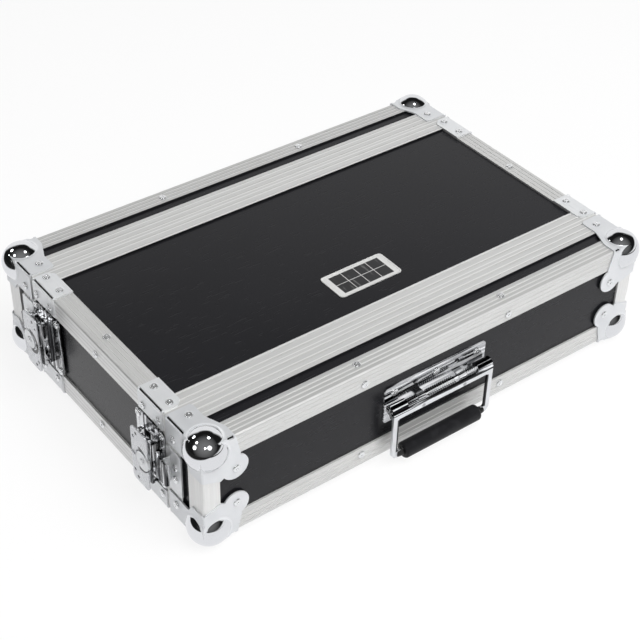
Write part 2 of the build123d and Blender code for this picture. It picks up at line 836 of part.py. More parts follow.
def latch_rotor():
    """The turning cam: a disc with a pivot head, a shaft through the housing and two hinge pins."""
    rotor = latch_rod(twist_a, 0, rotor_under, twist_a, 0, rotor_over, rotor_radius)
    rotor += latch_rod(twist_a, 0, housing_top + rotor_gap, twist_a, 0, rotor_under, rotor_shoulder_radius)
    flange_over = housing_top - housing_sheet - rotor_gap
    flange_under = flange_over - rotor_flange_thickness
    rotor += latch_rod(twist_a, 0, flange_under, twist_a, 0, flange_over, rotor_flange_radius)
    rotor += latch_rod(twist_a, 0, flange_under, twist_a, 0, rotor_under, rotor_shaft_radius)
    head_over = rotor_over + pivot_head_height
    head = latch_rod(twist_a, 0, rotor_over, twist_a, 0, head_over, pivot_head_radius)
    rim = head.edges().filter_by(GeomType.CIRCLE).sort_by(Axis.X)[0]
    rotor += fillet(rim, pivot_head_round)
    for side in (-1, 1):
        v = side * wing_pin_offset
        tip = twist_a - wing_back + wing_pin_end_gap
        root = twist_a - rotor_radius + wing_pin_root
        rotor += latch_rod(tip, v, wing_w, root, v, wing_w, wing_pin_radius)
    return rotor


def latch_wing():
    """The upper wing: a flat plate notched round the rotor, with a knuckle on the rotor's pin."""
    low_w = wing_w - wing_thickness / 2
    high_w = wing_w + wing_thickness / 2
    back_a = twist_a - wing_back
    front_a = twist_a + wing_front
    wing = latch_box(back_a, front_a, wing_pin_offset, wing_half_height, low_w, high_w)
    outer = wing.edges().filter_by(Axis.X).sort_by(Axis.Z)[-2:]
    wing = fillet(outer, wing_round)
    wing -= latch_rod(twist_a, 0, low_w - over, twist_a, 0, high_w + over, rotor_radius + wing_notch_gap)
    v = wing_pin_offset
    wing += latch_rod(back_a, v, wing_w, back_a + wing_knuckle_length, v, wing_w, wing_knuckle_radius)
    wing -= latch_rod(back_a - over, v, wing_w, twist_a, v, wing_w, wing_pin_radius + shaft_clearance)
    hole_a = twist_a - wing_hole_back
    hole_v = wing_hole_height
    return wing - latch_rod(hole_a, hole_v, low_w - over, hole_a, hole_v, high_w + over, wing_hole_radius)


def keeper():
    """The keeper on the front lid's left side: a riveted plate with a rolled lip."""
    start = split_y + keeper_start
    plate_piece = latch_box(start, start + keeper_length, -keeper_half_height, keeper_half_height, 0, plate)
    corners = plate_piece.edges().filter_by(Axis.X)
    piece = fillet(corners, keeper_round)
    lip_a = split_y + lip_start
    roll_w = lip_height - lip_roll_radius
    half = lip_half_height
    piece += latch_box(lip_a, lip_a + lip_thickness, -half, half, plate, roll_w)
    roll_a = lip_a + lip_thickness / 2
    piece += latch_rod(roll_a, -half, roll_w, roll_a, half, roll_w, lip_roll_radius)
    return drill(piece, lid_places, shank_hole)


# The handle on the front lid

axle_y = -(panel_y + plate + axle_stand)
axle = (axle_y, axle_height)
bail_back = axle_y - bail_stand
bail_front = bail_back - bail_thickness


def handle_backplate():
    """The backplate, with two tabs rolled round the axle."""
    y0 = -(panel_y + plate)
    piece = block(-handle_width / 2, handle_width / 2, y0, -panel_y, handle_plate_bottom, handle_plate_top)
    piece = fillet(piece.edges().filter_by(Axis.Y), handle_plate_round)
    z = handle_plate_top - handle_rivet_drop
    for side in (-1, 1):
        x = side * tab_x
        piece -= rod((x, y0 - over, z), (x, -panel_y + over, z), handle_hole_radius)
        x0 = x - tab_width / 2
        x1 = x + tab_width / 2
        tab_top = axle_height + tab_radius
        piece += block(x0, x1, axle_y, y0, tab_top - plate, tab_top)
        piece += rod((x0, axle_y, axle_height), (x1, axle_y, axle_height), tab_radius)
    reach = handle_width / 2 + over
    piece -= rod((-reach, axle_y, axle_height), (reach, axle_y, axle_height), axle_radius)
    return drill(piece, handle_places(), shank_hole)


def handle_axle():
    reach = bail_width / 2
    return rod((-reach, axle_y, axle_height), (reach, axle_y, axle_height), axle_radius)


def handle_bail():
    """The flat steel bail with a rolled knuckle at each end of its top bar."""
    top = axle_height - bail_top_gap
    bottom = grip_height - bail_bar / 2
    frame = block(-bail_width / 2, bail_width / 2, bail_front, bail_back, bottom, top)
    lower = frame.edges().filter_by(Axis.Y).sort_by(Axis.Z)[:2]
    frame = fillet(lower, bail_round)
    inner_x = bail_width / 2 - bail_leg
    near = bail_front - over
    far = bail_back + over
    window = block(-inner_x, inner_x, near, far, bottom + bail_bar, top - bail_bar)
    frame -= fillet(window.edges().filter_by(Axis.Y).sort_by(Axis.Z)[:2], bail_window_round)
    for side in (-1, 1):
        outer = side * bail_width / 2
        inner = outer - side * bail_knuckle_length
        knuckle = rod((inner, axle_y, axle_height), (outer, axle_y, axle_height), bail_knuckle_radius)
        web = block(inner, outer, bail_front, axle_y, top - bail_bar, top)
        frame = frame + knuckle + web
    reach = bail_width / 2 + over
    bore_radius = axle_radius + shaft_clearance
    return frame - rod((-reach, axle_y, axle_height), (reach, axle_y, axle_height), bore_radius)


def handle_grip():
    """The rubber grip over the bail's lower bar."""
    middle_y = (bail_front + bail_back) / 2
    half = grip_length / 2
    grip = rod((-half, middle_y, grip_height), (half, middle_y, grip_height), grip_radius)
    grip = fillet(grip.edges().filter_by(GeomType.CIRCLE), grip_round)
    low = grip_height - bail_bar / 2
    return grip - block(-half - over, half + over, bail_front, bail_back, low, low + bail_bar)


def biarc(start, start_direction, end, end_direction):
    """Two arcs that join two points with the given directions."""
    chord = end - start
    cosine = start_direction.dot(end_direction)
    half = chord.dot(start_direction + end_direction)
    reach = (-half + math.sqrt(half * half + 2 * (1 - cosine) * chord.dot(chord))) / (2 * (1 - cosine))
    first = start + start_direction * reach
    second = end - end_direction * reach
    joint = (first + second) * 0.5
    return [TangentArc(start, joint, tangent=start_direction), TangentArc(joint, end, tangent=second - first)]


def helix_point(x0, turn, length_per_turn):
    angle = 2 * math.pi * turn
    y = axle_y + spring_mean_radius * math.cos(angle)
    z = axle_height + spring_mean_radius * math.sin(angle)
    return Vector(x0 + turn * length_per_turn, y, z)


def helix_direction(turn, length_per_turn):
    angle = 2 * math.pi * turn
    rise = length_per_turn / (2 * math.pi)
    along_y = -spring_mean_radius * math.sin(angle)
    along_z = spring_mean_radius * math.cos(angle)
    return Vector(rise, along_y, along_z).normalized()


def spring(middle_x, turns):
    """A coil of round wire about the axle, one unbroken tube with a straight end each way."""
    x0 = middle_x - turns * spring_pitch / 2
    quarters = turns * 4
    edges = []
    start = helix_point(x0, 0, spring_pitch)
    direction = helix_direction(0, spring_pitch)
    edges.append(Line(start - direction * spring_wire, start))
    for step in range(quarters):
        turn = step / 4
        after = (step + 1) / 4
        edges += biarc(helix_point(x0, turn, spring_pitch), helix_direction(turn, spring_pitch),
                       helix_point(x0, after, spring_pitch), helix_direction(after, spring_pitch))
    end = helix_point(x0, turns, spring_pitch)
    last = helix_direction(turns, spring_pitch)
    edges.append(Line(end, end + last * spring_wire))
    section = Plane(origin=start - direction * spring_wire, z_dir=direction) * Circle(spring_wire / 2)
    tube = sweep(section, path=Wire(edges))
    length = sum(edge.length for edge in edges)
    expected = math.pi * (spring_wire / 2) ** 2 * length
    print("spring volume over section times length:", round(tube.volume / expected, 4))
    return tube


def spring_gap():
    """The least gap between turns, from points along the wire one turn apart or more."""
    points = [helix_point(0, step / 48, spring_pitch) for step in range(48 * 3)]
    least = 1000.0
    for one in range(len(points)):
        for other in range(one + 36, len(points)):
            least = min(least, (points[one] - points[other]).length)
    return least - spring_wire


def handle_springs():
    print("least gap between spring turns:", round(spring_gap(), 3))
    side_x = (tab_x + tab_width / 2 + bail_width / 2 - bail_knuckle_length) / 2
    side = spring(side_x, side_spring_turns)
    return [spring(0, middle_spring_turns), side, across_x(side)]


# Saving: the part stands on its balls, and its box is centred on X and Y

stand = ball_radius - ball_flat - ball_inset
front_reach = -((bail_front + bail_back) / 2 - grip_radius)
rear_reach = plate_y + ball_radius - ball_inset
shift = Pos(0, (front_reach - rear_reach) / 2, stand)


def save(node, shapes):
    solids = [solid for shape in shapes for solid in shape.solids()]
    group = solids[0] if len(solids) == 1 else Compound(solids)
    export_step(shift * group, "parts/" + node + ".step")


def save_sleeve():
    top, bottom, left, right = sleeve_panels()
    save("top_panel", [top])
    save("bottom_panel", [bottom])
    save("left_side_panel", [left])
    save("right_side_panel", [right])
    save("sleeve_edge_angles", left_and_right(top_and_bottom([sleeve_angle()])))
    closure = front_sleeve_closure()
    save("front_sleeve_closure", closure)
    save("rear_sleeve_closure", [across_y(length) for length in closure])
    braces = left_and_right(top_and_bottom([corner_brace()]))
    save("front_corner_braces", braces)
    save("rear_corner_braces", [across_y(brace) for brace in braces])
    save("sleeve_rivets", set_fasteners(sleeve_places, rivet_model))
    strips = left_and_right([rack_strip()])
    save("front_rack_strips", strips)
    save("rear_rack_strips", [across_y(strip) for strip in strips])
    save("rack_strip_screws", set_fasteners(rail_screw_places(), screw_model))
    save("label_plate", [label_plate()])


def save_lid(name, turn, extra_places):
    """Saves one lid; turn gives each front piece its place at this end of the case."""
    save(name + "_lid_panel", [turn(lid_panel(extra_places))])
    save(name + "_lid_walls", [turn(piece) for piece in lid_walls()])
    save(name + "_lid_closure", [turn(piece) for piece in lid_closure()])
    save(name + "_lid_edge_angles", [turn(piece) for piece in lid_edge_angles()])
    save(name + "_lid_corner_angles", [turn(piece) for piece in lid_corner_angles()])
    upper = left_and_right([ball_corner()])
    save(name + "_lid_upper_ball_corners", [turn(piece) for piece in upper])
    save(name + "_lid_lower_ball_corners", [turn(across_z(piece)) for piece in upper])
    save(name + "_lid_rivets", [turn(piece) for piece in set_fasteners(lid_places, rivet_model)])
    save(name + "_lid_keepers", [turn(piece) for piece in left_and_right([keeper()])])


def save_latches():
    base = latch_base()
    bases = left_and_right([base])
    save("latch_bases", bases + [across_y(piece) for piece in bases])
    save("latch_rivets", set_fasteners(latch_base_places(), rivet_model))
    wing = latch_wing()
    pieces = {"rotor": latch_rotor(), "upper_wing": wing, "lower_wing": across_z(wing), "hook": latch_hook()}
    for end in ("front", "rear"):
        for side in ("left", "right"):
            for name, piece in pieces.items():
                placed = piece if end == "front" else across_y(piece)
                placed = placed if side == "left" else across_x(placed)
                save(end + "_" + side + "_latch_" + name, [placed])


def save_handle():
    save("handle_backplate", [handle_backplate()])
    save("handle_axle", [handle_axle()])
    save("handle_springs", handle_springs())
    save("handle_bail", [handle_bail()])
    save("handle_grip", [handle_grip()])
    save("handle_rivets", set_fasteners(handle_places(), rivet_model))


def main():
    os.makedirs("parts", exist_ok=True)
    save_sleeve()
    save_lid("front", lambda piece: piece, handle_places())
    save_lid("rear", across_y, [])
    save_latches()
    save_handle()
    print("shift:", round((front_reach - rear_reach) / 2, 4), round(stand, 4))


main()
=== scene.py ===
# %% [markdown]
# A two-unit rack case is mostly flat sheet: film-faced plywood panels held in aluminium
# extrusions. What makes it look real is the hardware along its edges, and how differently each
# metal mirrors the room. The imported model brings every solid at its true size, so this script
# adds finishes, a few small pieces, light and a camera.

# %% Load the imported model
import math

import bmesh
import bpy
from mathutils import Matrix, Vector


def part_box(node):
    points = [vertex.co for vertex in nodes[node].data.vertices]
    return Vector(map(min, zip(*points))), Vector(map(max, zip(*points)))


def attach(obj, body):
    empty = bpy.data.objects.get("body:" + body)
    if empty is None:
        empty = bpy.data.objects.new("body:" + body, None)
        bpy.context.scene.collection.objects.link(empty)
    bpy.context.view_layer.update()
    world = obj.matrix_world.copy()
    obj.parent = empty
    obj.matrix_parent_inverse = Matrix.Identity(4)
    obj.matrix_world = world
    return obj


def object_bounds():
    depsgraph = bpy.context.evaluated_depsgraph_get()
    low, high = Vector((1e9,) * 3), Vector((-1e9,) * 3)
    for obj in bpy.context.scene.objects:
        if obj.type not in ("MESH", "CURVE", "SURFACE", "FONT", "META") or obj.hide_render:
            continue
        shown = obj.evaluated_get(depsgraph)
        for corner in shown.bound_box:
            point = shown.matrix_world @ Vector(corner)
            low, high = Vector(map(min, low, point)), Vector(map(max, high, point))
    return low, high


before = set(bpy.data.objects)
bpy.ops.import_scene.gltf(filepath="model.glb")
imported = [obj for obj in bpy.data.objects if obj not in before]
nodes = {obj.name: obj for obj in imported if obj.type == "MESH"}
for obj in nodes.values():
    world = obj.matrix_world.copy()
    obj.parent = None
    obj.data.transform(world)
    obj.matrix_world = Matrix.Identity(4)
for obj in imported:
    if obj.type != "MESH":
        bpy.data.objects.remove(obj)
cad_low, cad_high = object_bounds()
mm = 0.001
case_size = [round((high - low) / mm, 1) for low, high in zip(cad_low, cad_high)]
print("the case measures", case_size, "mm")

# %% [markdown]
# Places could be typed in as numbers, but then they would drift away from the model. They are
# taken from the boxes of its nodes instead. The steel braces give the outer faces of the case,
# the top panel gives the middle of its depth, and the lid's edge angles lie one plate's thickness
# inside the front face.

# %% Places taken from the frame
plate = 1.5 * mm
brace_low, brace_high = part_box("front_corner_braces")
panel_low, panel_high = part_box("top_panel")
lid_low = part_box("front_lid_edge_angles")[0]
middle_y = (panel_low.y + panel_high.y) / 2
middle_z = (brace_low.z + brace_high.z) / 2
half_width = brace_high.x
half_depth = middle_y - lid_low.y + plate
half_height = (brace_high.z - brace_low.z) / 2
halves = (half_width, half_depth, half_height)
case_middle = Vector((0, middle_y, middle_z))
print("half sizes over the plates", [round(half / mm, 1) for half in halves], "mm")

# %% [markdown]
# The camera repeats the photograph's: a long lens, well above the case and to its left, rolled by
# a degree and a half. A constraint could aim it at the case, but a roll and an exact direction
# are easier to state as compass angles, from which the three axes of the camera's matrix follow
# one by one.

# %% Camera
camera_azimuth = math.radians(37.85)
camera_elevation = math.radians(38.75)
camera_roll = math.radians(-1.53)
camera_offset = Vector((-0.70828, -0.907045, 0.88589))
lens_in_pixels = 1442.4
picture_pixels = 640
sensor_width = 36.0
sight_limit = 50.0


def camera_axes(azimuth, elevation, roll):
    """The camera's right, up and backward directions as the columns of a matrix."""
    level = math.cos(elevation)
    forward = Vector((math.sin(azimuth) * level, math.cos(azimuth) * level, -math.sin(elevation)))
    right = Vector((math.cos(azimuth), -math.sin(azimuth), 0))
    down = forward.cross(right)
    rolled_right = right * math.cos(roll) + down * math.sin(roll)
    rolled_down = down * math.cos(roll) - right * math.sin(roll)
    return Matrix((rolled_right, -rolled_down, -forward)).transposed()


camera_data = bpy.data.cameras.new("camera")
camera_data.sensor_fit = "HORIZONTAL"
camera_data.sensor_width = sensor_width
camera_data.lens = lens_in_pixels / picture_pixels * sensor_width
camera_data.clip_end = sight_limit
camera = bpy.data.objects.new("camera", camera_data)
camera_place = case_middle + camera_offset
camera_turn = camera_axes(camera_azimuth, camera_elevation, camera_roll)
camera.matrix_world = Matrix.LocRotScale(camera_place, camera_turn.to_quaternion(), None)
bpy.context.scene.collection.objects.link(camera)
bpy.context.scene.camera = camera
bpy.context.scene.view_settings.view_transform = "Standard"
print("lens", round(camera_data.lens, 1), "mm, from", round(camera_offset.length, 2), "m away")

# %% [markdown]
# Every pattern on this case is a number that varies over a surface, and Blender works it out with
# Math nodes. Wired by hand, even a short formula takes a screenful of them. Signal wraps one
# output socket and overloads Python's operators, so an expression such as 1 - mask adds its own
# nodes.

# %% One varying number


class Signal:
    """One number that varies over a surface."""

    def __init__(self, tree, socket):
        self.tree = tree
        self.socket = socket

    def math(self, operation, *values, clamp=False):
        node = self.tree.add("ShaderNodeMath", {"operation": operation, "use_clamp": clamp})
        for place, value in enumerate((self, *values)):
            self.tree.feed(node.inputs[place], value)
        return Signal(self.tree, node.outputs[0])

    def __add__(self, other):
        return self.math("ADD", other)

    def __radd__(self, other):
        return self.math("ADD", other)

    def __mul__(self, other):
        return self.math("MULTIPLY", other)

    def __rmul__(self, other):
        return self.math("MULTIPLY", other)

    def __sub__(self, other):
        return self.math("SUBTRACT", other)

    def __rsub__(self, other):
        return (self * -1) + other

    def __pow__(self, other):
        return self.math("POWER", other)

    def __abs__(self):
        return self.math("ABSOLUTE")

    def above(self, level, soft):
        """Nought below the level, one above it, over a soft step."""
        return ((self - level) * (1 / soft)).math("ADD", 0.5, clamp=True)

    def between(self, low, high, soft):
        """One from low to high, nought outside."""
        return self.above(low, soft) * (1 - self.above(high, soft))

    def either(self, other):
        """One where either of two masks is."""
        return self.math("MAXIMUM", other)


print("a Signal takes + - * ** and abs(), and has above(), between() and either()")

# %% [markdown]
# A node tree belongs to a material or to the world, and both are filled in the same way. One
# method adds a node of any type. It applies the node's settings first, because they decide which
# sockets there are, and then feeds each socket a value, another node's socket or a Signal.

# %% A tree of nodes


class Tree:
    """A node tree, of the world or of a material."""

    def __init__(self, node_tree):
        self.node_tree = node_tree

    def add(self, kind, settings=None, sockets=None):
        node = self.node_tree.nodes.new(kind)
        for name, value in (settings or {}).items():
            setattr(node, name, value)
        for name, value in (sockets or {}).items():
            self.feed(node.inputs[name], value)
        return node

    def feed(self, socket, value):
        if isinstance(value, Signal):
            value = value.socket
        if isinstance(value, bpy.types.NodeSocket):
            self.node_tree.links.new(value, socket)
        else:
            socket.default_value = value

    def split(self, vector):
        """The three parts of a vector, as Signals."""
        node = self.add("ShaderNodeSeparateXYZ", None, {"Vector": vector})
        return [Signal(self, output) for output in node.outputs]

    def blend(self, factor, first, second):
        """Mixes two shaders."""
        node = self.add("ShaderNodeMixShader")
        for place, value in enumerate((factor, first.outputs[0], second.outputs[0])):
            self.feed(node.inputs[place], value)
        return node


print("a Tree adds nodes to a material or to the world")

# %% [markdown]
# A finish is one material. Its patterns read object coordinates, and every piece's object sits at
# the origin, so these are the case's own coordinates: a mask is placed in metres from the middle
# of the case, and a noise scale counts features to the metre. Image textures would need
# unwrapping and would stretch on the rounded folds. Colours go through Mix nodes, because a Math
# node would turn them grey.

# %% A finish


class Finish(Tree):
    """The node tree of one material."""

    # A Mix node keeps sockets for every type of data. These are its factor and its colours.
    mix_inputs = (0, 6, 7)
    mix_output = 2

    def __init__(self, name):
        self.material = bpy.data.materials.new(name)
        self.material.use_nodes = True
        super().__init__(self.material.node_tree)
        self.shader = self.node_tree.nodes["Principled BSDF"]
        self.place = self.add("ShaderNodeTexCoord").outputs["Object"]

    def noise(self, scale, detail=3.0, stretch=(1, 1, 1)):
        """A small stretch along an axis draws the grain out that way."""
        mapping = self.add("ShaderNodeMapping", None, {"Vector": self.place, "Scale": stretch})
        sockets = {"Vector": mapping.outputs[0], "Scale": scale, "Detail": detail}
        return Signal(self, self.add("ShaderNodeTexNoise", None, sockets).outputs[0])

    def axes(self):
        return self.split(self.place)

    def mix(self, factor, first, second):
        """A colour between two; colours are three numbers or a socket."""
        node = self.add("ShaderNodeMix", {"data_type": "RGBA"})
        for index, value in zip(self.mix_inputs, (factor, first, second)):
            self.feed(node.inputs[index], (*value, 1) if isinstance(value, tuple) else value)
        return node.outputs[self.mix_output]

    def set(self, **values):
        """Feeds the shader; bump is a height in metres, in place of a Normal."""
        for name, value in values.items():
            if name == "bump":
                bump = self.add("ShaderNodeBump", None, {"Height": value, "Distance": 1.0})
                name, value = "normal", bump.outputs[0]
            elif isinstance(value, tuple):
                value = (*value, 1)
            self.feed(self.shader.inputs[name.replace("_", " ").title()], value)
        return self.material


print("a Finish has noise(), axes(), mix() and set()")

# %% [markdown]
# The model's nodes keep their shapes and only change their finish. One call dresses any number of
# them. The case repeats itself front and rear, and at its four latches, so those names are put
# together in code instead of being typed out.

# %% Dress the nodes
dressed = []


def dress(finish, *names):
    """Gives CAD nodes a material in place of the one that they came with."""
    for name in names:
        mesh = nodes[name].data
        mesh.materials.clear()
        mesh.materials.append(finish)
    dressed.extend(names)
    print(finish.name, "on", len(names), "nodes")


def both_ends(*parts):
    return [end + "_" + part for end in ("front", "rear") for part in parts]


def every_latch(*parts):
    return [latch + part for latch in both_ends("left_latch_", "right_latch_") for part in parts]


print("the hooks are", every_latch("hook"))

# %% [markdown]
# The panels are birch plywood under a black phenolic film. The film is pressed against a fine
# mesh, so it carries short shallow dashes, and it mirrors the bright room at a low angle while it
# looks deep black from above. A single black would look like a hole in the case. A dark base with
# a soft gloss gives both, large faint patches stand for handling, and the dashes are noise drawn
# out along X.

# %% Black panel film
film_gloss = 0.22
film_black, film_worn = (0.006, 0.006, 0.007), (0.011, 0.011, 0.013)
film_dash = (0.018, 0.018, 0.020)
dash_depth, pore_height = 0.014 * mm, 0.012 * mm


def panel_film():
    finish = Finish("panel_film")
    dashes = finish.noise(70, 1.0, (1, 6, 6)).above(0.68, 0.10)
    wear = finish.noise(5.0, 4.0)
    pores = finish.noise(1400, 2.0)
    colour = finish.mix(wear, film_black, film_worn)
    colour = finish.mix(dashes * 0.2, colour, film_dash)
    rough = wear * 0.08 + pores * 0.06 + 0.17 + dashes * 0.08
    finish.shader.inputs["Specular IOR Level"].default_value = film_gloss
    bump = pores * pore_height - dashes * dash_depth
    return finish.set(base_color=colour, roughness=rough, bump=bump)


panels = [side + "_panel" for side in ("top", "bottom", "left_side", "right_side")]
dress(panel_film(), *panels, *both_ends("lid_panel", "lid_walls"))

# %% [markdown]
# Every pressed corner has slots along its folds, and they look black. Light that enters such a
# slot is lost between the plate and the extrusion. Cut into the model, the slots would show the
# bare extrusion behind them, so the aluminium under the folds is given that shade outright. The
# shade is a mask near two outer faces at once, only as long as the plates are. `reach` measures
# on the mesh where the plates begin and end.

# %% Shade under the folds
hair = 0.3 * mm
fold_depth = 5 * mm
front_leg_length = 35 * mm
plate_margin = 1 * mm


def reach(name, axis, middle):
    """The least and the greatest distance of a node's points from a middle plane."""
    far = [abs(vertex.co[axis] - middle) for vertex in nodes[name].data.vertices]
    return min(far), max(far)


def distances(finish):
    """How far a point lies from each middle plane of the case."""
    x, y, z = finish.axes()
    return [abs(x), abs(y - middle_y), abs(z - middle_z)]


ball_node = "front_lid_upper_ball_corners"
leg_start = reach(ball_node, 1, middle_y)[0]
brace_start, brace_end = reach("front_corner_braces", 1, middle_y)


def fold_shade(far):
    near_side, near_end, near_top = [
        distance.above(half - fold_depth, hair) for distance, half in zip(far, halves)
    ]
    under_braces = far[1].between(brace_start + plate_margin, brace_end - plate_margin, hair)
    under_legs = far[1].above(leg_start + plate_margin, hair)
    under_front_legs = far[0].above(half_width - front_leg_length + plate_margin, hair)
    beside = near_side * near_top * under_braces.either(under_legs)
    return beside.either(near_end * near_top * under_front_legs)


print("ball corner legs start", round(leg_start / mm, 1), "mm from the middle")

# %% [markdown]
# The extrusions have ridges and grooves along them, and the edge where a band was cut off stands
# dark against the panel; that dark is painted shade. A ridge of a few tenths of a millimetre
# hardly tilts the light, so a bump would not show it. Each one is painted as a narrow pale strip,
# a painted highlight, at its distance from a middle plane, which serves both ends and both sides
# of the case at once.

# %% Lines along the bands
line_width = 1.4 * mm
wall_width, wall_soft = 0.2 * mm, 0.1 * mm
skin_thickness = 2.0 * mm
flange_top = half_height - plate
flange_side = half_width - plate
painted_highlight = (0.78, 0.78, 0.77)
dark_line = (0.36, 0.36, 0.36)

closure_ridges = [place * mm for place in (101.3, 109.5, 115.8, 120.2, 127.5, 134.7)]
lid_edge_ridges = [place * mm for place in (157.3, 162.4, 167.2, 172.6)]
groove_levels = [flange_top - place * mm for place in (5.5, 10.5, 15.5)]
groove_columns = [flange_side - place * mm for place in (6.0, 11.0, 16.0)]
side_lines = [flange_top - place * mm for place in (1.8, 6.6, 11.4, 16.0)]


def strips(distance, places, width, soft):
    """One on narrow strips, each centred on one of the places."""
    half = width / 2
    first, *others = [distance.between(place - half, place + half, soft) for place in places]
    for other in others:
        first = first.either(other)
    return first


print(len(closure_ridges), "ridges on a closure band and", len(lid_edge_ridges), "on a lid edge")

# %% [markdown]
# The extrusions are satin anodised. Anodising scatters light almost like paint, so the finish is
# only half metal, with long faint die lines along each length: noise drawn out along the way that
# the length runs. The flat top and the sides of a band take the light differently, so each has a
# lift of its own, and each finish its own pair: painted light and shade in the colour. A plain
# brushed metal would mirror the white floor and lose both the ridges and the die lines.

# %% Anodised aluminium
grain_dark, grain_pale = (0.45, 0.45, 0.444), (0.70, 0.70, 0.694)
speck_grey = (0.42, 0.42, 0.41)
slot_black = (0.006, 0.006, 0.006)


def lifted(colour, lift):
    return tuple(part * lift for part in colour)


def drawn_out(run, amount):
    return tuple(amount if axis == run else 1 for axis in "xyz")


def anodised(name, run, side_painted_light, top_painted_light, walls=(), marks=()):
    """Run is the axis of the lengths, and the lifts paint light and shade on the sides and the top.

    Walls are cut edges, as distances along Y, and get painted shade. A mark is an axis, the
    places of its lines, their tone and their strength; the pale ones are painted highlights.
    """
    finish = Finish(name)
    far = distances(finish)
    lines = finish.noise(900, 2.0, drawn_out(run, 0.02))
    fade = finish.noise(14, 3.0, drawn_out(run, 0.3))
    specks = finish.noise(420, 2.0).above(0.70, 0.05)
    shade = fold_shade(far)
    # The cut edges of the bands join the fold slots in painted shade.
    if walls:
        shade = shade.either(strips(far[1], walls, wall_width, wall_soft))
    grain = lines * 0.6 + fade * 0.4
    side_tone, top_tone = [
        finish.mix(grain, lifted(grain_dark, lift), lifted(grain_pale, lift))
        for lift in (side_painted_light, top_painted_light)
    ]
    # Painted light and shade: the top flange and the sides get their own brightness.
    colour = finish.mix(far[2].above(flange_top - skin_thickness, hair), side_tone, top_tone)
    colour = finish.mix(specks * 0.15, colour, speck_grey)
    # Pale marks are painted highlights along ridges and over grooves.
    for axis, places, tone, strength in marks:
        colour = finish.mix(strips(far[axis], places, line_width, hair) * strength, colour, tone)
    colour = finish.mix(shade, colour, slot_black)
    rough = lines * 0.12 + fade * 0.12 + 0.26
    metal = (1 - shade) * 0.58
    return finish.set(base_color=colour, metallic=metal, roughness=rough, bump=lines * (0.012 * mm))


print("anodised tones from", grain_dark, "to", grain_pale, "before their lift")

# %% [markdown]
# Four finishes share that one function. The closure bands have strong painted highlights on
# their ridges. The lid's edge angles have fainter ones, and faint painted highlights over the
# grooves on their front flange. The sleeve's edge angles run along Y, with painted highlights over
# the grooves on their top and dark lines on the side, and the upright angles at the lid's corners
# are plain. Only the cut edges of the bands, which get painted shade, are measured on the mesh,
# because each has to meet a wall of it exactly.

# %% Dress the extrusions
closure_walls = [
    reach("front_lid_closure", 1, middle_y)[1],
    reach("front_sleeve_closure", 1, middle_y)[0],
]
lid_edge_walls = [reach("front_lid_edge_angles", 1, middle_y)[0]]
closure_marks = [(1, closure_ridges, painted_highlight, 1.0)]
lid_edge_marks = [(1, lid_edge_ridges, painted_highlight, 0.85), (2, groove_levels, painted_highlight, 0.3)]
sleeve_edge_marks = [(0, groove_columns, painted_highlight, 0.5), (2, side_lines, dark_line, 0.4)]

closures = anodised("anodised_closures", "x", 1.10, 1.07, closure_walls, closure_marks)
lid_edges = anodised("anodised_lid_edges", "x", 1.06, 0.92, lid_edge_walls, lid_edge_marks)
sleeve_edges = anodised("anodised_sleeve_edges", "y", 1.32, 1.05, (), sleeve_edge_marks)
uprights = anodised("anodised_upright", "z", 1.27, 1.27)
dress(closures, *both_ends("sleeve_closure", "lid_closure"))
dress(lid_edges, *both_ends("lid_edge_angles"))
dress(sleeve_edges, "sleeve_edge_angles")
dress(uprights, *both_ends("lid_corner_angles"))

# %% [markdown]
# Braces, keepers and latch rotors are pressed steel with a pale zinc plating: bluer than the
# aluminium and more of a mirror, clouded where the bath ran off, and a little darker in fine
# scratches. Real plating has crystals too fine to see from here, so two noises are enough.

# %% Zinc-plated steel
zinc_dark, zinc_pale = (0.66, 0.675, 0.69), (0.80, 0.81, 0.82)
zinc_scratch = (0.45, 0.46, 0.47)


def plated_steel():
    finish = Finish("plated_steel")
    cloud = finish.noise(45, 3.0)
    scratches = finish.noise(500, 2.0, (1, 0.08, 1)).above(0.66, 0.06)
    colour = finish.mix(cloud, zinc_dark, zinc_pale)
    colour = finish.mix(scratches * 0.2, colour, zinc_scratch)
    rough = cloud * 0.12 + scratches * 0.1 + 0.26
    return finish.set(base_color=colour, metallic=0.55, roughness=rough, bump=cloud * (0.01 * mm))


dress(plated_steel(), *both_ends("corner_braces", "lid_keepers"), *every_latch("rotor"))

# %% [markdown]
# The ball corners are one pressing of zinc-plated steel with a chromed ball set in it. The model
# has both as one node, so one material has to show both. Splitting the mesh would break the node,
# but the distance from the ball's centre tells the two apart at every point, in the same way as a
# mask round a hole.

# %% Ball corner steel
ball_radius = 20.0 * mm
ball_flat = 0.4 * mm
corner_low, corner_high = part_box(ball_node)
ball_x = corner_high.x - ball_radius
ball_y = middle_y - corner_low.y - ball_radius
ball_z = corner_high.z + ball_flat - ball_radius - middle_z
plating_dark, plating_pale = (0.60, 0.615, 0.635), (0.74, 0.75, 0.765)
chrome_tone = (0.78, 0.79, 0.81)


def distance_from(*sides):
    """The distance from a point, out of its sides along two or three axes."""
    total = sides[0] ** 2
    for side in sides[1:]:
        total = total + side ** 2
    return total.math("SQRT")


def ball_corner_steel():
    """Zinc on the three legs, chrome where the ball itself shows."""
    finish = Finish("ball_corner_steel")
    far_x, far_y, far_z = distances(finish)
    from_ball = distance_from(far_x - ball_x, far_y - ball_y, far_z - ball_z)
    on_plate = from_ball.above(ball_radius + 0.2 * mm, 0.1 * mm)
    cloud = finish.noise(45, 3.0)
    colour = finish.mix(on_plate, chrome_tone, finish.mix(cloud, plating_dark, plating_pale))
    rough = on_plate * (cloud * 0.12 + 0.22) + 0.04
    return finish.set(base_color=colour, metallic=on_plate * -0.45 + 1.0, roughness=rough)


dress(ball_corner_steel(), *both_ends("lid_upper_ball_corners", "lid_lower_ball_corners"))
print("a ball's centre lies", [round(part / mm, 1) for part in (ball_x, ball_y, ball_z)], "mm out")
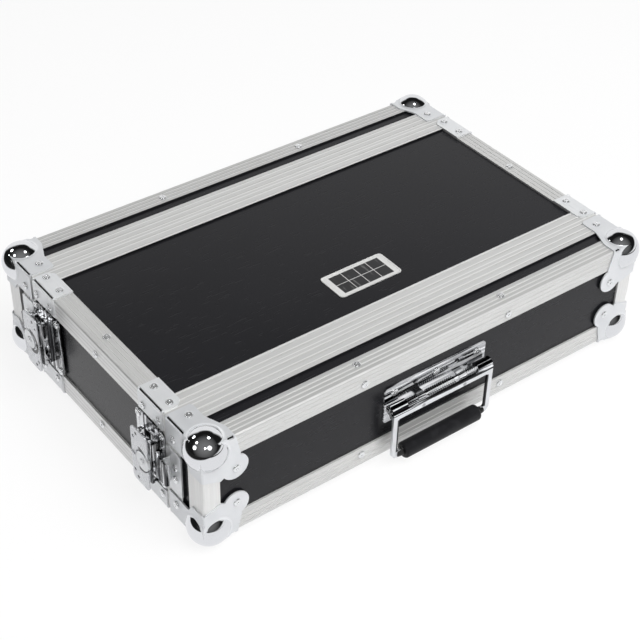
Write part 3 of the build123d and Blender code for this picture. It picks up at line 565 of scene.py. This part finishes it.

# %% [markdown]
# A latch wing is a small folded plate with two holes, and a dark gap curves round the hub between
# the wings. The model has the plates and one hole in each. The second hole and the gap's dark arc
# are a few pixels wide, so they are masks too: a dark painted disc that repeats at every wing, and
# a ring of painted shade round each hub that fades out on its rear side. Cut into the plates, both
# would need many more faces for the same few pixels.

# %% Steel of the latch wings
wing_hole_y = 94.0 * mm
wing_hole_z = 26.0 * mm
wing_hole_radius, wing_hole_depth = 1.7 * mm, 0.5 * mm
hub_arc_inner = 9.8 * mm
hub_arc_outer = 13.4 * mm
arc_end, arc_fade = 2 * mm, 3 * mm
rotor_low, rotor_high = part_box("rear_left_latch_rotor")
hub_y = (rotor_low.y + rotor_high.y) / 2 - middle_y
wing_dark, wing_pale = (0.56, 0.57, 0.59), (0.68, 0.69, 0.71)
wing_scratch, wing_black = (0.40, 0.41, 0.42), (0.004, 0.004, 0.004)


def wing_steel():
    """Zinc, with a second hole painted dark on each wing and an arc of painted shade round the hub.
    """
    finish = Finish("wing_steel")
    y, z = finish.axes()[1:]
    along, up = y - middle_y, z - middle_z
    from_hole = distance_from(abs(along) - wing_hole_y, abs(up) - wing_hole_z)
    hole = 1 - from_hole.above(wing_hole_radius, 0.2 * mm)
    from_hub = along - along.math("SIGN") * hub_y
    # A ring of painted shade round each hub, fading out on its rear side.
    gap_shade_ring = distance_from(from_hub, up).between(hub_arc_inner, hub_arc_outer, hair)
    hole_and_gap_shade = hole.either(gap_shade_ring * (1 - from_hub.above(arc_end, arc_fade)))
    cloud = finish.noise(70, 3.0)
    scratches = finish.noise(300, 2.0, (1, 0.1, 1)).above(0.68, 0.06)
    colour = finish.mix(cloud, wing_dark, wing_pale)
    colour = finish.mix(scratches * 0.05, colour, wing_scratch)
    colour = finish.mix(hole_and_gap_shade, colour, wing_black)
    metal = (1 - hole_and_gap_shade) * 0.7
    rough = cloud * 0.14 + 0.2
    bump = hole_and_gap_shade * -wing_hole_depth
    return finish.set(base_color=colour, metallic=metal, roughness=rough, bump=bump)


dress(wing_steel(), *every_latch("upper_wing", "lower_wing"))
print("latch hubs lie", round(hub_y / mm, 1), "mm from the middle")

# %% [markdown]
# Rivets hold every plate. Their heads are bright plated steel, a few pixels across and already
# domed in the model, so a pale metal with a little haze is all that they need to catch a spot of
# light each.

# %% Rivets
rivet_dark, rivet_pale = (0.72, 0.73, 0.74), (0.88, 0.89, 0.90)


def rivet_metal():
    finish = Finish("rivet_metal")
    haze = finish.noise(90, 3.0)
    colour = finish.mix(haze, rivet_dark, rivet_pale)
    return finish.set(base_color=colour, metallic=0.85, roughness=haze * 0.08 + 0.10)


dress(rivet_metal(), "sleeve_rivets", "latch_rivets", "handle_rivets", *both_ends("lid_rivets"))

# %% [markdown]
# Hooks, latch housings, the handle's backplate, its axle and its springs are small folded or
# coiled chrome. Parts like these mirror each other many times over, which the eye reads as hard
# dark and bright bars. A true mirror would show them only if every fold near it was modelled, so
# the bars are painted reflections: noise drawn out along the part, dark in the base colour.
# `Plain` keeps part of each bar a steady pale tone, whatever it mirrors.

# %% Chrome with painted reflection bars
painted_reflection_black = (0.012, 0.012, 0.014)
bar_pale, bar_bright = (0.74, 0.75, 0.77), (0.84, 0.85, 0.87)


def chrome_with_painted_reflections(name, stretch, amount, plain):
    """Amount is how dark the painted reflection bars are, and plain how steady they are."""
    finish = Finish(name)
    bars = finish.noise(330, 1.5, stretch).above(0.47, 0.10)
    haze = finish.noise(70, 3.0)
    # The dark bars in the base colour are painted reflections.
    colour = finish.mix(bars * amount, finish.mix(haze, bar_pale, bar_bright), painted_reflection_black)
    metal = bars * plain + (1 - plain)
    return finish.set(base_color=colour, metallic=metal, roughness=haze * 0.08 + 0.09)


upright_bars = chrome_with_painted_reflections("upright_bars", (1, 1, 0.06), 0.92, 0.35)
level_bars = chrome_with_painted_reflections("level_bars", (0.04, 1, 1), 0.9, 0.6)
backplate_chrome = chrome_with_painted_reflections("backplate_chrome", (0.05, 1, 1), 0.45, 0.45)
dress(upright_bars, "latch_bases", *every_latch("hook"))
dress(level_bars, "handle_axle", "handle_springs")
dress(backplate_chrome, "handle_backplate")

# %% [markdown]
# The small plate on the top is printed metal: a pale rim round a dark field of blank cells,
# parted by thin rules. The field and its rules are masks measured from the plate's own box, and
# the rules repeat with a Fraction node in place of a box for each cell. Rubs through the ink let
# a little of the metal show.

# %% Label plate
label_low, label_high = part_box("label_plate")
label_end_margin = 7.0 * mm
label_side_margin = 4.0 * mm
label_line = 0.35 * mm
label_soft = 0.15 * mm
label_columns, label_rows = 4, 2
rim_dark, rim_pale = (0.62, 0.62, 0.61), (0.76, 0.76, 0.75)
ink_dark, ink_pale = (0.010, 0.010, 0.011), (0.020, 0.020, 0.021)


def rules(value, start, cell):
    """One on a thin line at every edge of a row of cells."""
    from_edge = abs(((value - start) * (1 / cell) + 0.5).math("FRACT") - 0.5)
    return 1 - from_edge.above(label_line / cell, label_line / cell)


def ruled_label():
    finish = Finish("ruled_label")
    x, y = finish.axes()[:2]
    left, right = label_low.x + label_end_margin, label_high.x - label_end_margin
    near, far = label_low.y + label_side_margin, label_high.y - label_side_margin
    field = x.between(left, right, label_soft) * y.between(near, far, label_soft)
    columns = rules(x, left, (right - left) / label_columns)
    rows = rules(y, near, (far - near) / label_rows)
    cloud = finish.noise(60, 3.0)
    rubs = finish.noise(260, 3.0, (1, 0.15, 1)).above(0.64, 0.08)
    ink = field * (1 - columns.either(rows) * 0.8) * (1 - rubs * 0.12)
    rim = finish.mix(cloud, rim_dark, rim_pale)
    colour = finish.mix(ink, rim, finish.mix(cloud, ink_dark, ink_pale))
    return finish.set(base_color=colour, metallic=0.5 - ink * 0.4, roughness=cloud * 0.1 + 0.3)


dress(ruled_label(), "label_plate")

# %% [markdown]
# The bail is a flat strip of plated steel whose upper end is rolled round the axle. The strip is
# pale and nearly matt. Its rolled ends are polished, so they mirror in dark bars, the inner edges
# of its legs mirror the dark panel behind them, and two dimples mark the crossbar. The dark bars
# and the dark inner edges are painted reflections, and the grey of the dimples is painted shade.
# Each of these is a mask from the bail's box.

# %% Handle bail
bail_low, bail_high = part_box("handle_bail")
roll_depth = 3.0 * mm
crossbar_mirror = 9.6 * mm
leg_width = 6.5 * mm
edge_mirror, edge_soft = 1.7 * mm, 0.4 * mm
edge_bottom, edge_top = bail_low.z + 7.5 * mm, bail_high.z - 15.0 * mm
dimple_x, dimple_z = 25.0 * mm, bail_high.z - 12.0 * mm
dimple_radius, dimple_soft, dimple_depth = 2.0 * mm, 0.8 * mm, 0.4 * mm
bail_dark, bail_pale = (0.60, 0.61, 0.63), (0.74, 0.75, 0.77)
dimple_shade = (0.16, 0.16, 0.17)


def bail_steel():
    """Pale plating, chrome with painted reflection bars on the rolled ends, painted reflection on
    the inner leg edges, two dimples in painted shade.
    """
    finish = Finish("bail_steel")
    x, y, z = finish.axes()
    cloud = finish.noise(60, 3.0)
    rolled_back = y.above(bail_low.y + roll_depth, hair)
    rolled = rolled_back.either(z.above(bail_high.z - crossbar_mirror, hair))
    within_legs = 1 - abs(x).above(bail_high.x - leg_width + edge_mirror, edge_soft)
    inner_edge_reflection = within_legs * z.between(edge_bottom, edge_top, hair)
    dimple = 1 - distance_from(abs(x) - dimple_x, z - dimple_z).above(dimple_radius, dimple_soft)
    # The dimples are darkened grey: painted shade.
    plating = finish.mix(dimple * 0.6, finish.mix(cloud, bail_dark, bail_pale), dimple_shade)
    colour = finish.mix(rolled, plating, chrome_tone)
    bars = finish.noise(420, 1.5, (0.03, 1, 1)).above(0.45, 0.08)
    # Painted reflections: dark bars on the rolled ends and the dark inner edges of the legs.
    colour = finish.mix((rolled * bars).either(inner_edge_reflection), colour, painted_reflection_black)
    rough = (1 - rolled) * (cloud * 0.1 + 0.17) + 0.08
    metal = rolled * (bars * 0.6 - 0.2) + 0.6
    bump = dimple * -dimple_depth
    return finish.set(base_color=colour, metallic=metal, roughness=rough, bump=bump)


dress(bail_steel(), "handle_bail")

# %% [markdown]
# The grip is moulded rubber with a fine leathery skin, and the rack strips are steel in black
# zinc. Both are near black and differ only in how they take the light, so the rubber is rough and
# bumped, and the steel is part metal and smoother. A little dust in the skin keeps the grip from
# being lost against the panel.

# %% Rubber and black steel
rubber_gloss = 0.3
rubber_black, rubber_dust = (0.006, 0.006, 0.007), (0.020, 0.020, 0.022)
steel_black, steel_worn = (0.012, 0.012, 0.013), (0.035, 0.035, 0.035)


def rubber():
    finish = Finish("grip_rubber")
    grain = finish.noise(1100, 3.0)
    dust = finish.noise(90, 3.0).above(0.62, 0.2)
    colour = finish.mix(dust * 0.4, rubber_black, rubber_dust)
    finish.shader.inputs["Specular IOR Level"].default_value = rubber_gloss
    return finish.set(base_color=colour, roughness=grain * 0.2 + 0.42, bump=grain * (0.05 * mm))


def black_steel():
    finish = Finish("black_steel")
    cloud = finish.noise(80, 3.0)
    colour = finish.mix(cloud, steel_black, steel_worn)
    return finish.set(base_color=colour, metallic=0.6, roughness=cloud * 0.2 + 0.3)


strip_steel = black_steel()
dress(rubber(), "handle_grip")
dress(strip_steel, "rack_strip_screws", *both_ends("rack_strips"))
print(len(dressed), "of", len(nodes), "nodes are dressed")

# %% [markdown]
# The balls are bright nickel-chrome. They show the dark ceiling and the lamps as they are, so
# only a slight haze and a few fine rubs keep the mirror from looking computed.

# %% Chrome
haze_tones = ((0.74, 0.75, 0.77), (0.82, 0.83, 0.85))


def chrome():
    finish = Finish("bright_chrome")
    haze = finish.noise(60, 3.0)
    rubs = finish.noise(700, 2.0, (1, 1, 0.1)).above(0.68, 0.06)
    colour = finish.mix(haze, *haze_tones)
    return finish.set(base_color=colour, metallic=1.0, roughness=haze * 0.05 + rubs * 0.10 + 0.05)


bright = chrome()
print("made", bright.name)

# %% [markdown]
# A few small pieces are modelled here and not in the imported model. Each is shaped as a bmesh,
# which is Blender's editable mesh, right where it belongs on the case. Its object then stays at
# the origin, unturned, so that object coordinates mean the same on it as on every node.

# %% A piece from a mesh


def piece_from(mesh, name, finish):
    """Turns a bmesh into an object in the scene."""
    data = bpy.data.meshes.new(name)
    mesh.to_mesh(data)
    mesh.free()
    data.materials.append(finish)
    piece = bpy.data.objects.new(name, data)
    bpy.context.scene.collection.objects.link(piece)
    print("made", name, "with", len(data.polygons), "faces")
    return piece


# %% [markdown]
# The balls are the one place where a mirror is seen close up, and a mirror shows every facet. The
# model's balls are fine for their shape, but a sphere of the script's own, a hair larger and
# shaded smooth, carries the chrome. It keeps only what stands outside the plates. Where the ball
# has its small flat, the points are pressed down to it, and the normals stay those of a sphere,
# so the flat doesn't show as a disc.

# %% Chrome balls
ball_skin = 0.04 * mm
flat_skin = 0.01 * mm
plate_cover = 2.0 * mm


def under_plates(spot):
    """True where a spot lies deeper than the plates cover, seen from all three outer faces."""
    offsets = (spot.x, spot.y - middle_y, spot.z - middle_z)
    return min(half - abs(offset) for half, offset in zip(halves, offsets)) > plate_cover


def chrome_ball(name, body, side, end, level):
    """Side, end and level are -1 or 1: left or right, front or rear, lower or upper."""
    centre = Vector((side * ball_x, middle_y + end * ball_y, middle_z + level * ball_z))
    ball = bmesh.new()
    bmesh.ops.create_uvsphere(ball, u_segments=96, v_segments=48, radius=ball_radius + ball_skin)
    bmesh.ops.translate(ball, verts=ball.verts, vec=centre)
    flat_height = ball_radius - ball_flat + flat_skin
    for point in ball.verts:
        if level * (point.co.z - centre.z) > flat_height:
            point.co.z = centre.z + level * flat_height
    for face in ball.faces:
        face.smooth = True
    covered = [face for face in ball.faces if under_plates(face.calc_center_median())]
    bmesh.ops.delete(ball, geom=covered, context="FACES")
    piece = piece_from(ball, name, bright)
    normals = [(point.co - centre).normalized() for point in piece.data.vertices]
    piece.data.normals_split_custom_set_from_vertices(normals)
    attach(piece, body)


for end_name, end in (("front", -1), ("rear", 1)):
    for side_name, side in (("left", -1), ("right", 1)):
        for level_name, level in (("lower", -1), ("upper", 1)):
            name = "_".join((end_name, side_name, level_name, "ball"))
            chrome_ball(name, end_name + "_lid", side, end, level)

# %% [markdown]
# The grip is held on the bail's lower bar by a dark bolt at each end, seen between the rubber and
# the leg. Turned parts like this could be spun from a profile, but at a few pixels across, a
# short cone that narrows towards the leg, with its two rims beveled, is enough.

# %% Grip bolts
grip_low, grip_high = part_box("handle_grip")
grip_y, grip_z = (grip_low.y + grip_high.y) / 2, (grip_low.z + grip_high.z) / 2
bolt_radius = 4.2 * mm
bolt_taper = 0.8
bolt_rim = 0.6 * mm
bolt_gap = 0.6 * mm
level_limit = 0.001 * mm


def is_level(edge):
    first, second = edge.verts
    return abs(first.co.z - second.co.z) < level_limit


def grip_bolt(name, side):
    grip_end = side * grip_high.x
    leg_side = side * (bail_high.x - leg_width)
    length = abs(leg_side - grip_end) - 2 * bolt_gap
    bolt = bmesh.new()
    bmesh.ops.create_cone(
        bolt, cap_ends=True, segments=40, depth=length,
        radius1=bolt_radius, radius2=bolt_radius * bolt_taper,
    )
    rims = [edge for edge in bolt.edges if is_level(edge)]
    bmesh.ops.bevel(
        bolt, geom=rims, offset=bolt_rim, offset_type="OFFSET",
        affect="EDGES", segments=3, profile=0.5, material=-1,
    )
    turn = Matrix.Rotation(math.radians(90 * side), 3, "Y")
    bmesh.ops.rotate(bolt, verts=bolt.verts, cent=(0, 0, 0), matrix=turn)
    place = Vector(((grip_end + leg_side) / 2, grip_y, grip_z))
    bmesh.ops.translate(bolt, verts=bolt.verts, vec=place)
    piece = piece_from(bolt, name, strip_steel)
    piece.data.shade_smooth()
    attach(piece, "handle")


grip_bolt("left_grip_bolt", -1)
grip_bolt("right_grip_bolt", 1)

# %% [markdown]
# Chrome looks like what stands round it. Here that is a dark ceiling above and behind the camera,
# with a few lamps in it, and a white sweep everywhere else with a white wall behind. A ready-made
# sky would put its light and dark in other places. The world draws the room from its directions
# instead: a slightly tilted edge between white and dark, higher to the right, a wall that ends a
# little over a third of the way up, and a faint glow round the lamps. The camera itself sees
# plain white.

# %% World
lamp_direction = Vector((-0.38, -0.55, 0.74))
wall_direction = Vector((0.60, 0.80, 0))
wall_height = 0.60
wall_edge, wall_soft_edge = 0.66, 0.14
sweep_tilt, sweep_drop = 0.25, 0.03
room_soft = 0.10
room_white, room_dark = 0.93, 0.010
glow_edge, glow_soft, glow_strength = 0.72, 0.55, 0.20
white = (1, 1, 1, 1)

world = bpy.data.worlds.new("studio")
world.use_nodes = True
bpy.context.scene.world = world
sky = Tree(world.node_tree)
sky.node_tree.nodes.clear()
sky_x, sky_y, sky_z = sky.split(sky.add("ShaderNodeTexCoord").outputs["Generated"])


def toward(direction):
    """How nearly a view points in a direction, up to one."""
    return sky_x * direction.x + sky_y * direction.y + sky_z * direction.z


over_sweep = (sky_z - sky_x * sweep_tilt + sweep_drop).above(0.0, room_soft)
beside_wall = 1 - toward(wall_direction).above(wall_edge, wall_soft_edge)
over_wall = sky_z.above(wall_height, room_soft)
dark = over_sweep * beside_wall.either(over_wall)
ceiling = toward(lamp_direction).above(glow_edge, glow_soft) * glow_strength + room_dark
level = (1 - dark) * room_white + dark * ceiling
room = sky.add("ShaderNodeBackground", None, {"Color": white, "Strength": level})
backdrop = sky.add("ShaderNodeBackground", None, {"Color": white, "Strength": 1.0})
camera_ray = sky.add("ShaderNodeLightPath").outputs["Is Camera Ray"]
seen = sky.blend(camera_ray, room, backdrop)
sky.add("ShaderNodeOutputWorld", None, {"Surface": seen.outputs[0]})
print("the world has", len(sky.node_tree.nodes), "nodes")

# %% [markdown]
# The floor is white paper that takes a soft shadow. Mirrors see it white near the case, and dark
# where the sheet would end, to the left and in front. One large square does for the sheet,
# because its edges are far outside the picture, and the material decides what the camera and the
# mirrors see of it.

# %% Floor
floor_reach = 12.0
sheet_left, left_soft = -0.58, 0.10
sheet_front, front_soft = -1.3, 0.3
paper_tone = (0.70, 0.70, 0.70)
mirrored_white, mirrored_dark = (0.92, 0.92, 0.93), (0.02, 0.02, 0.02)
glow_share = 0.86

paper = Finish("white_paper")
paper.set(base_color=paper_tone, roughness=0.9)
across, along = paper.axes()[:2]
beyond = (1 - across.above(sheet_left, left_soft)).either(1 - along.above(sheet_front, front_soft))
mirrored_paper = paper.mix(beyond, mirrored_white, mirrored_dark)
mirrored = paper.add("ShaderNodeEmission", None, {"Color": mirrored_paper})
glow = paper.add("ShaderNodeEmission", None, {"Color": white, "Strength": 1.0})
rays = paper.add("ShaderNodeLightPath").outputs
for_camera = paper.blend(Signal(paper, rays["Is Camera Ray"]) * glow_share, paper.shader, glow)
for_mirrors = paper.blend(rays["Is Glossy Ray"], for_camera, mirrored)
paper.feed(paper.node_tree.nodes["Material Output"].inputs["Surface"], for_mirrors.outputs[0])

floor_mesh = bmesh.new()
bmesh.ops.create_grid(floor_mesh, x_segments=1, y_segments=1, size=floor_reach)
floor = piece_from(floor_mesh, "floor", paper.material)

# %% [markdown]
# Two kinds of light do two jobs. A wide soft panel above lights every matte surface and is hidden
# from mirrors. The lamps are discs that give the chrome its bright spots, and each one hangs
# where the front left ball shows its spot: the line of sight is reflected on the ball at that
# spot and followed out to the lamp. Placed by eye, six lamps would each need many tries, because
# a ball shrinks the whole room to a thumbnail.

# %% Lights
panel_place = (0.35, -1.35, 2.2)
panel_size, panel_power = 2.2, 105
lamp_distance, lamp_power = 2.2, 3.0
# Right and down of the ball's centre, in radii, and the lamp's own size in metres.
lamp_spots = [
    (-0.423, -0.536, 0.42), (-0.289, -0.320, 0.36), (-0.378, -0.112, 0.72),
    (0.202, -0.513, 0.48), (0.068, -0.089, 0.34), (0.252, -0.104, 0.85),
]


def area_light(name, place, size, power, in_mirrors):
    """A disc of light, aimed at the case."""
    data = bpy.data.lights.new(name, "AREA")
    data.shape = "DISK"
    data.size = size
    data.energy = power
    light = bpy.data.objects.new(name, data)
    light.location = place
    light.rotation_euler = (-Vector(place)).to_track_quat("-Z", "Y").to_euler()
    light.visible_glossy = in_mirrors
    bpy.context.scene.collection.objects.link(light)


def mirrored_place(rightward, downward, distance):
    """Where a lamp hangs whose spot the camera sees there on the ball, in radii from its centre."""
    ball_centre = Vector((-ball_x, middle_y - ball_y, middle_z + ball_z))
    sight = (ball_centre - camera_place).normalized()
    picture_right, picture_up, picture_back = camera_turn.transposed()
    outward = (1 - rightward ** 2 - downward ** 2) ** 0.5
    normal = picture_right * rightward - picture_up * downward + picture_back * outward
    return ball_centre + sight.reflect(normal.normalized()) * distance


area_light("soft_panel", panel_place, panel_size, panel_power, in_mirrors=False)
for count, (rightward, downward, size) in enumerate(lamp_spots):
    place = mirrored_place(rightward, downward, lamp_distance)
    area_light("lamp_" + str(count), place, size, lamp_power, in_mirrors=True)
    print("lamp", count, "at", [round(value, 2) for value in place])
